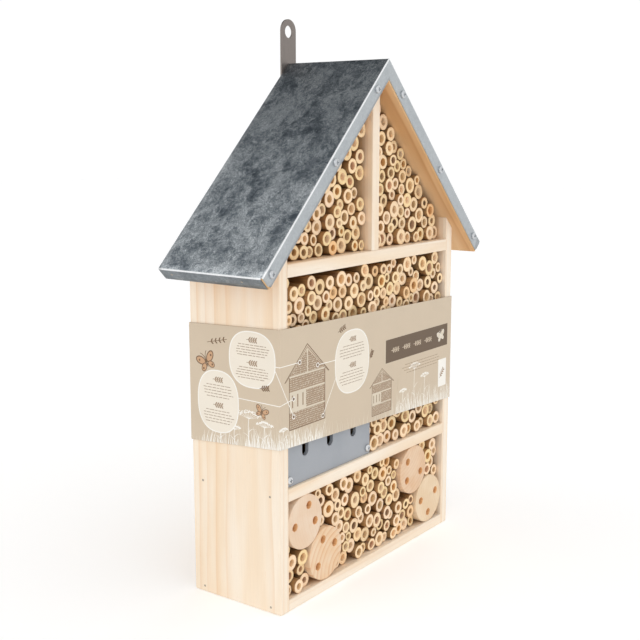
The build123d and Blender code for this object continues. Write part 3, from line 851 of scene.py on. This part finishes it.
# One zinc sheet in four lit and shaded copies: the slopes darker (cloudy patina, and a painted reflection of the dark
# patch high up behind the house), the front flange lighter (painted reflection of the white surroundings), the eave
# flanges darker (painted shade) and the bends near white (painted highlight).
slope_zinc_dark_reflection = galvanised("slope_zinc_dark_reflection", srgb(84, 92, 100), srgb(122, 131, 138), srgb(178, 185, 189), 1.35, 1.0,
                        (0.26, 0.44), ridge_reflection_dark=0.30)
flange_zinc_light_reflection = galvanised("flange_zinc_light_reflection", srgb(162, 167, 171), srgb(176, 181, 184), srgb(190, 194, 197), 0.6, 0.10,
                         (0.30, 0.45))
eave_zinc_painted_shade = galvanised("eave_zinc_painted_shade", srgb(90, 97, 103), srgb(112, 119, 124), srgb(138, 144, 148), 1.0, 0.2)
fold_zinc_painted_highlight = galvanised("fold_zinc_painted_highlight", srgb(228, 231, 233), srgb(238, 240, 241), srgb(246, 247, 248), 0.5, 0.1,
                       (0.24, 0.36))
sheet = add_piece("roof_sheet_folded", roof_sheet_mesh(), [slope_zinc_dark_reflection, flange_zinc_light_reflection, eave_zinc_painted_shade, fold_zinc_painted_highlight],
                  ["roof_sheet"], sharp=60)
solid = sheet.modifiers.new("thickness", "SOLIDIFY")
solid.thickness = sheet_thickness
solid.offset = -1
solid.use_even_offset = True

strap_metal = plain_metal("strap_metal", srgb(138, 130, 125), 0.42, (1, 1, 0.2), 0.85)
eased_copy("hanger_strap", "hanger_strap_metal", strap_metal, 0.35)
plate_paint = painted("plate_paint", srgb(158, 162, 168), srgb(150, 155, 162))
eased_copy("butterfly_plate", "butterfly_plate_painted", plate_paint, 0.35)

screw_metal = plain_metal("screw_zinc", srgb(214, 216, 218), 0.22)
nail_metal = plain_metal("nail_steel", srgb(176, 166, 152), 0.5)
# The roof screws: the same zinc as the other screws, made darker as painted shade.
shaded_roof_screw = plain_metal("screw_zinc_painted_shade", srgb(202, 205, 208), 0.28)
for node, metal in (("plate_screws", screw_metal), ("roof_screws", shaded_roof_screw), ("strap_screws", screw_metal)):
    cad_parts[node].material_slots[0].material = metal
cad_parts["roof_nails"].material_slots[0].material = nail_metal


nail_points = 16


def nail_mesh(node):
    """Brads driven home: a point, a shank and a small, slightly domed head that stands just proud."""
    mesh = bmesh.new()
    for points in solids_of(node):
        middle = points.mean(axis=0)
        axis = np.linalg.svd(points - middle)[2][0]
        along = (points - middle) @ axis
        away = np.linalg.norm(points - middle - np.outer(along, axis), axis=1)
        if along[away.argmax()] > 0:
            axis, along = -axis, -along
        length = along.max() - along.min()
        seat = middle + axis * along.min()
        side = np.cross(axis, (0, 1, 0) if abs(axis[1]) < 0.9 else (1, 0, 0))
        side = side / np.linalg.norm(side)
        other = np.cross(axis, side)
        # radius, and depth below the board's face, in millimetres
        profile = [(0.3, -0.11), (0.7, -0.08), (0.95, 0.0), (0.95, 0.7), (0.6, 0.9), (0.6, length / MM - 2.0)]
        turns = [2 * math.pi * n / nail_points for n in range(nail_points)]
        rows = [[seat + MM * (deep * axis + size * (math.cos(a) * side + math.sin(a) * other)) for a in turns]
                for size, deep in profile]
        made = rows_of(mesh, rows)
        mesh.faces.new(reversed(made[0]))
        close_row(mesh, made[-1], seat + length * axis)
    bmesh.ops.recalc_face_normals(mesh, faces=mesh.faces)
    return mesh


for node in ("carcass_nails", "back_nails", "eave_nails"):
    add_piece(f"{node}_driven", nail_mesh(node), [nail_metal], [node], sharp=50)


# ---- card band


def card(name, colour, mottled=0.04):
    """Printed card: a faint fibre texture under flat ink."""
    shader = Shader(name, Specular_IOR_Level=0.4)
    place = shader.millimetres()
    fibre = shader.noise(place, 1.1, 4, 0.65)
    cloud = shader.noise(place, 0.05, 2, 0.5)
    tone = shader.shade(shader.shade(colour, fibre, 1 - mottled, 1 + mottled), cloud, 0.97, 1.03)
    relief = shader.bump(fibre, 0.02, 0.5)
    return shader.feed(Base_Color=tone, Roughness=shader.spread(fibre, 0.52, 0.68), Normal=relief)


def heading(degrees):
    """Cosine and sine of an angle."""
    return math.cos(math.radians(degrees)), math.sin(math.radians(degrees))


class Artwork:
    """Flat shapes on the unrolled band, in millimetres: u runs round the house from the front left corner."""

    def __init__(self):
        self.shapes = []

    def polygon(self, points, ink):
        self.shapes.append((points, ink))

    def box(self, u1, v1, u2, v2, ink):
        self.polygon([(u1, v1), (u2, v1), (u2, v2), (u1, v2)], ink)

    def oval(self, u, v, half_u, half_v, ink, turn=0.0, count=28):
        """An oval; turn tips it, in degrees."""
        c, s = heading(turn)
        angles = (2 * math.pi * n / count for n in range(count))
        ring = [(half_u * math.cos(a), half_v * math.sin(a)) for a in angles]
        self.polygon([(u + x * c - y * s, v + x * s + y * c) for x, y in ring], ink)

    def line(self, points, width, ink, taper=1.0):
        """A drawn line, as one four-sided piece for each stretch."""
        last = len(points) - 1
        for n in range(last):
            (u1, v1), (u2, v2) = points[n], points[n + 1]
            reach = math.hypot(u2 - u1, v2 - v1)
            if reach < 0.02:
                continue
            w1 = width / 2 * (1 + (taper - 1) * n / last)
            w2 = width / 2 * (1 + (taper - 1) * (n + 1) / last)
            du, dv = (u2 - u1) / reach, (v2 - v1) / reach
            more = min(0.12, w1 * 0.4)
            a, b = (u1 - du * more, v1 - dv * more), (u2 + du * more, v2 + dv * more)
            self.polygon([(a[0] + dv * w1, a[1] - du * w1), (b[0] + dv * w2, b[1] - du * w2),
                          (b[0] - dv * w2, b[1] + du * w2), (a[0] - dv * w1, a[1] + du * w1)], ink)

    def curve(self, start, middle, end, width, ink, steps=8, taper=1.0):
        """A drawn curve that is pulled towards its middle point."""
        points = []
        for n in range(steps + 1):
            t = n / steps
            points.append(tuple((1 - t) ** 2 * a + 2 * t * (1 - t) * b + t * t * c
                                for a, b, c in zip(start, middle, end)))
        self.line(points, width, ink, taper)

    def panel(self, u, v, half_u, half_v, fill, edge, line=0.9, count=56):
        """A filled oval with fuller corners and a line round it."""
        for grow, ink in ((line, edge), (0, fill)):
            ring = []
            for n in range(count):
                c, s = math.cos(2 * math.pi * n / count), math.sin(2 * math.pi * n / count)
                ring.append((u + (half_u + grow) * math.copysign(abs(c) ** 0.82, c),
                             v + (half_v + grow) * math.copysign(abs(s) ** 0.82, s)))
            self.polygon(ring, ink)

    def butterfly(self, u, v, size, wing, ink, turn=0.0):
        """A butterfly with spread wings."""
        c, s = heading(turn)

        def at(x, y):
            return (u + size * (x * c - y * s), v + size * (x * s + y * c))

        for side in (-1, 1):
            for x, y, a, b, tip in ((0.52, 0.32, 0.54, 0.34, 38), (0.40, -0.30, 0.38, 0.27, -42)):
                place = at(side * x, y)
                self.oval(*place, size * a, size * b, ink, turn + side * tip)
                self.oval(*place, size * a * 0.82, size * b * 0.74, wing, turn + side * tip)
                self.oval(*at(side * x * 1.25, y * 1.2), size * 0.09, size * 0.09, ink, 0, 10)
            self.curve(at(0, 0.3), at(side * 0.1, 0.7), at(side * 0.34, 0.86), 0.06 * size, ink, 4)
        self.oval(*at(0, 0), size * 0.07, size * 0.42, ink, turn, 14)

    def umbel(self, u, foot, top, spread, ink, rng):
        """A flower with a flat head of many small blossoms on a thin stalk."""
        fork = top - 0.55 * spread
        self.curve((u + rng.uniform(-2, 2), foot), (u - 1.5, (foot + fork) / 2), (u, fork), 0.55, ink, 6)
        rays = 9
        for n in range(rays):
            share = n / (rays - 1) * 2 - 1
            tip = (u + share * spread, top - 0.28 * spread * share * share)
            self.curve((u, fork), (u + share * spread * 0.6, (fork + tip[1]) / 2), tip, 0.28, ink, 4)
            for _ in range(7):
                du, dv = rng.uniform(-1.7, 1.7), rng.uniform(-0.9, 1.1)
                self.oval(tip[0] + du * spread / 9, tip[1] + dv * spread / 9, 0.5, 0.42, ink, 0, 7)
        for side, share in ((-1, 0.35), (1, 0.55)):
            v = foot + (fork - foot) * share
            self.curve((u, v), (u + side * 3, v + 3.5), (u + side * 6, v + 3), 0.5, ink, 5, 0.2)

    def grass(self, low_u, high_u, foot_at, height, count, ink, rng):
        """Thin blades that lean both ways, from the band's lower edge."""
        for n in range(count):
            u = low_u + (high_u - low_u) * (n + rng.uniform(0.1, 0.9)) / count
            tall = height * rng.uniform(0.35, 1.0)
            lean = rng.uniform(-0.35, 0.35) * tall
            foot = foot_at(u) - 1
            self.curve((u, foot), (u + lean * 0.2, foot + tall * 0.6), (u + lean, foot + tall), 0.8, ink, 4, 0.15)

    def house(self, u, foot, width, wall, height, rng, fine=1.0):
        """A small drawing of a house-shaped insect hotel: full of tubes, with a slotted chamber at the left."""
        half = width / 2
        over = width * 0.12
        gable = height * 0.93
        left, far, eaves = u - half, u + half, foot + wall
        self.polygon([(left, foot), (far, foot), (far, eaves), (u, foot + gable), (left, eaves)], "taupe")
        step = 1.75 * fine
        v = foot + step * 0.6
        while v < foot + gable - step:
            reach = half * min(1, (foot + gable - v) / (gable - wall)) - step * 0.6
            x = u - reach + step * rng.uniform(0, 0.4)
            while x < u + reach:
                size = 0.56 * fine * rng.uniform(0.75, 1.1)
                self.oval(x, v + rng.uniform(-0.15, 0.15), size, size, rng.choice(("pale", "card")), 0, 6)
                x += step * rng.uniform(0.85, 1.15)
            v += step * 0.92
        low, high = foot + 0.34 * wall, foot + 0.70 * wall
        right = u - 0.08 * half
        self.box(left, low, right, high, "pale")
        for n in range(3):
            x = u - half + (right - u + half) * (n + 0.6) / 3.2
            self.line([(x, low + 0.2 * (high - low)), (x, high - 0.15 * (high - low))], 1.5 * fine, "taupe")
        for v in (low, high, eaves):
            self.line([(left, v), (far, v)], 1.3 * fine, "pale")
        self.line([(u, eaves), (u, foot + gable)], 1.3 * fine, "pale")
        self.line([(left, eaves), (left, foot), (far, foot), (far, eaves)], 0.6 * fine, "brown")
        for side in (-1, 1):
            eave = (u + side * (half + over), foot + wall - over * 0.6)
            self.line([(u, foot + height), eave], 0.7 * fine, "brown")
            self.line([(u, foot + height - 2.2 * fine), (eave[0] - side, eave[1])], 0.4 * fine, "brown")

    def small_print(self, u, v, half_u, half_v, rows, ink, rng, width=0.5):
        """Rows of plain dashes inside an oval outline, where small print would be."""
        for n in range(rows):
            share = 1 - (n + 0.5) * 2 / rows
            reach = half_u * math.sqrt(1 - 0.5 * share * share)
            x, end = u - reach * rng.uniform(0.85, 1), u + reach * rng.uniform(0.85, 1)
            while x < end:
                stop = min(end, x + rng.uniform(1.8, 5.0))
                self.line([(x, v + share * half_v), (stop, v + share * half_v)], width, ink)
                x = stop + 0.9

    def sprig(self, u, v, length, turn, ink):
        """A small leafy twig."""
        c, s = heading(turn)
        tip = (u + length * c, v + length * s)
        self.line([(u, v), tip], 0.45, ink)
        for n in range(1, 5):
            place = (u + length * c * n / 5, v + length * s * n / 5)
            for side in (-1, 1):
                angle = turn + side * 48
                across, up = heading(angle)
                self.oval(place[0] + 1.5 * across, place[1] + 1.5 * up, 1.5, 0.6, ink, angle, 10)


inks = {
    "card": srgb(206, 189, 166),
    "cream": srgb(234, 225, 210),
    "white": srgb(243, 239, 231),
    "pale": srgb(216, 204, 184),
    "brown": srgb(118, 92, 68),
    "banner": srgb(106, 88, 70),
    "taupe": srgb(160, 136, 112),
    "wing": srgb(200, 160, 124),
}


def band_artwork(rng, edge_at):
    """Meadow, butterflies, panels and two small houses. Every motif is the model's own; there are no words."""
    art = Artwork()

    def meadow(*patches):
        for start, end, height, count, ink in patches:
            art.grass(start, end, edge_at, height, count, ink, rng)

    def flowers(*places):
        for u, tall, spread in places:
            art.umbel(u, edge_at(u) - 1, edge_at(u) + tall, spread, "white", rng)

    meadow((-88, 250, 12, 120, "pale"), (-78, -40, 15, 20, "white"), (-40, 62, 21, 96, "pale"),
           (-34, 52, 17, 84, "white"), (150, 250, 24, 80, "pale"), (158, 250, 19, 64, "white"))
    flowers((-29.8, 27, 9.8), (-14.7, 20, 7.2), (-44, 15, 5.5), (188.5, 40, 8), (206, 29, 6),
            (170, 20, 5), (-58, 11, 4.5), (4, 16, 4.5))
    art.house(33.4, 142.5, 44.5, 40, 62, rng)
    art.house(136.3, 129, 29.5, 26.5, 38, rng, 0.72)
    for line in (((-5, 192), (23.9, 191.9)), ((-5, 190), (16.4, 152)), ((-40, 163.7), (-1, 163), (16.4, 165.5)),
                 ((46.4, 186.1), (70, 185.6)), ((53.2, 145), (70.5, 172))):
        art.line(line, 0.6, "white")
    for u, v, half_u, half_v in ((-26.2, 194.6, 21.4, 20.6), (-60.0, 158.0, 19.8, 23.6), (92.8, 181.0, 23.0, 24.8)):
        art.panel(u, v, half_u, half_v, "cream", "white")
        for share in (0.42, -0.42):
            middle = v + share * half_v
            art.sprig(u - 5, middle + 0.30 * half_v, 10, 0, "taupe")
            art.small_print(u, middle - 0.08 * half_v, 0.80 * half_u, 0.24 * half_v, 5, "taupe", rng)
    for u, v in ((23.9, 191.9), (46.4, 186.1), (16.4, 165.5), (16.4, 152), (53.2, 145)):
        art.oval(u, v, 1.9, 1.9, "white", 0, 16)
        art.oval(u, v, 1.2, 1.2, "brown", 0, 14)
    art.box(141.8, 170.0, 244.8, 189.6, "banner")
    for u in (150, 168, 186, 204):
        art.sprig(u, 179.6, 13, 0, "card")
    art.butterfly(233, 179.5, 6.6, "pale", "cream", 12)
    art.small_print(200, 160, 34, 5, 4, "taupe", rng)
    art.box(229.5, 133, 243.5, 158, "white")
    art.sprig(232, 141, 11, 48, "taupe")
    art.butterfly(-71, 187.3, 9.6, "wing", "brown", 24)
    art.butterfly(-17.4, 155.9, 6.4, "wing", "brown", -18)
    for twig in ((-70, 203, 20, 12), (-19, 174, 9, 8), (73, 207, 11, 18), (118, 178, 8, 60)):
        art.sprig(*twig, "brown")
    meadow((254, 338, 16, 60, "pale"))
    flowers((290, 40, 10))
    art.butterfly(312, 168, 8, "wing", "brown", 15)
    meadow((342, 590, 15, 130, "pale"))
    return art


# the card band, in millimetres
card_thickness = 0.5
fold = 0.7
fold_cuts = (-0.7, -0.45, -0.22, 0.22, 0.45, 0.7)
first_cut, cut_spacing = 11, 14


def band_mesh():
    """The sleeve: the artwork is cut into its outer face, so each ink is its own set of faces."""
    points = solids_of("card_band")[0] / MM
    half_x, half_y = points[:, 0].max(), points[:, 1].max()
    sides = [2 * half_x, 2 * half_y, 2 * half_x, 2 * half_y]
    starts = np.cumsum([0] + sides)
    total = starts[-1]
    headings = [(1, 0), (0, 1), (-1, 0), (0, -1)]
    turns = [(-half_x, -half_y), (half_x, -half_y), (half_x, half_y), (-half_x, half_y)]
    corners = []
    for x, y in turns:
        near = points[(np.abs(points[:, 0] - x) < 0.05) & (np.abs(points[:, 1] - y) < 0.05)]
        corners.append((near[:, 2].min(), near[:, 2].max()))
    corners.append(corners[0])

    def side_of(u):
        return min(3, int(np.searchsorted(starts, u, side="right") - 1))

    def edges_at(u):
        """Heights of the band's lower and upper edge."""
        u = u % total
        n = side_of(u)
        share = (u - starts[n]) / sides[n]
        return tuple(a + (b - a) * share for a, b in zip(corners[n], corners[n + 1]))

    def place(u, v, inward):
        """The point in space for a place on the unrolled band, this far in from its outer face."""
        u = u % total
        n = side_of(u)
        du, dv = headings[n]
        s = u - starts[n]
        near, sign = (s, 1) if s < sides[n] - s else (sides[n] - s, -1)
        x, y = turns[n][0] + du * s, turns[n][1] + dv * s
        depth = inward
        if near < fold:
            depth += fold * 0.42 * (1 - near / fold) ** 2
            back = (fold - near) * 0.25 * sign
            x, y = x + du * back, y + dv * back
        if near < inward + 0.01:
            shift = (inward - near) * sign
            x, y = x + du * shift, y + dv * shift
        if near > fold:
            lift = 0.16 * noise.noise(Vector((u * 0.03, v * 0.035, 3.0))) * min(1, near / 12)
            depth = depth + 0.08 - lift * 0.5
        return ((x - dv * depth) * MM, (y + du * depth) * MM, v * MM)

    art = band_artwork(random.Random(9), lambda u: edges_at(u)[0])
    vertices, shapes, edges = [], [], []

    def add_loop(ring):
        start = len(vertices)
        vertices.extend(Vector(point) for point in ring)
        return list(range(start, start + len(ring)))

    seam = -sides[3]
    last = total + seam
    inner_folds = {float(s) + k * total for s in starts for k in (-1, 0) if seam < s + k * total < last}
    outline_u = sorted({seam, last} | inner_folds)
    for u1, u2 in zip(outline_u, outline_u[1:]):
        (low_1, high_1), (low_2, high_2) = edges_at(u1 + 1e-6), edges_at(u2 - 1e-6)
        shapes.append((add_loop([(u1, low_1), (u2, low_2), (u2, high_2), (u1, high_1)]), "card"))
    base_count = len(shapes)
    # cuts across the strip: close together at each fold, and evenly spaced all along it
    across = [start + step for start in outline_u for step in fold_cuts]
    across = [u for u in across if seam < u < last]
    across += [seam + first_cut + cut_spacing * n for n in range(int((total - first_cut) / cut_spacing) + 1)]
    for u in across:
        low_v, high_v = edges_at(u)
        edges.append(tuple(add_loop([(u, low_v), (u, high_v)])))
    for ring, ink in art.shapes:
        area = sum(a[0] * b[1] - b[0] * a[1] for a, b in zip(ring, ring[1:] + ring[:1]))
        shapes.append((add_loop(ring if area > 0 else ring[::-1]), ink))
    rings = [ring for ring, _ in shapes]
    flat, _, triangles, _, _, owners = geometry.delaunay_2d_cdt(vertices, edges, rings, 0, 1e-5)
    names = list(inks)
    kept, slots = [], []
    for triangle, owner in zip(triangles, owners):
        if owner and min(owner) < base_count:
            kept.append(tuple(triangle))
            slots.append(names.index(shapes[max(owner)][1]))
    mesh = bmesh.new()
    used = sorted({n for triangle in kept for n in triangle})
    outer = {n: mesh.verts.new(place(flat[n].x, flat[n].y, 0)) for n in used}
    inner = {n: mesh.verts.new(place(flat[n].x, flat[n].y, card_thickness)) for n in used}
    borders = {}
    for triangle, slot in zip(kept, slots):
        mesh.faces.new([outer[n] for n in triangle]).material_index = slot
        mesh.faces.new([inner[n] for n in reversed(triangle)]).material_index = len(names)
        borders.update(dict.fromkeys(zip(triangle, triangle[1:] + triangle[:1])))
    for a, b in borders:
        on_seam = any(abs(flat[a].x - e) < 1e-4 and abs(flat[b].x - e) < 1e-4 for e in (seam, last))
        if (b, a) not in borders and not on_seam:
            mesh.faces.new((outer[b], outer[a], inner[a], inner[b])).material_index = len(names)
    bmesh.ops.remove_doubles(mesh, verts=mesh.verts, dist=0.004 * MM)
    return mesh


ink_materials = [card(f"card_{name}", colour) for name, colour in inks.items()]
ink_materials.append(card("card_raw", srgb(168, 148, 122), 0.08))
add_piece("card_band_printed", band_mesh(), ink_materials, ["card_band"], body="band", sharp=55)


# ---- floor, light, camera and bounds


def make_floor():
    """A wide pale sheet under the house."""
    bpy.ops.mesh.primitive_grid_add(x_subdivisions=8, y_subdivisions=8, size=12, location=(0, 0, -0.0002))
    floor = bpy.context.object
    floor.name = "floor"
    white = Shader("floor_white", Roughness=0.8, Specular_IOR_Level=0.2, Base_Color=(0.99, 0.99, 0.99, 1),
                   Emission_Color=(1, 1, 1, 1), Emission_Strength=0.16)
    floor.data.materials.append(white.material)
    floor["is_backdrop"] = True


make_floor()
make_world()
make_camera()
area_light("key", place=(-2.4, -1.1, 1.3), target=(0, 0, 0.22), size=1.6, power=4.5)
bpy.context.scene.view_settings.view_transform = "Standard"

low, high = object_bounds()
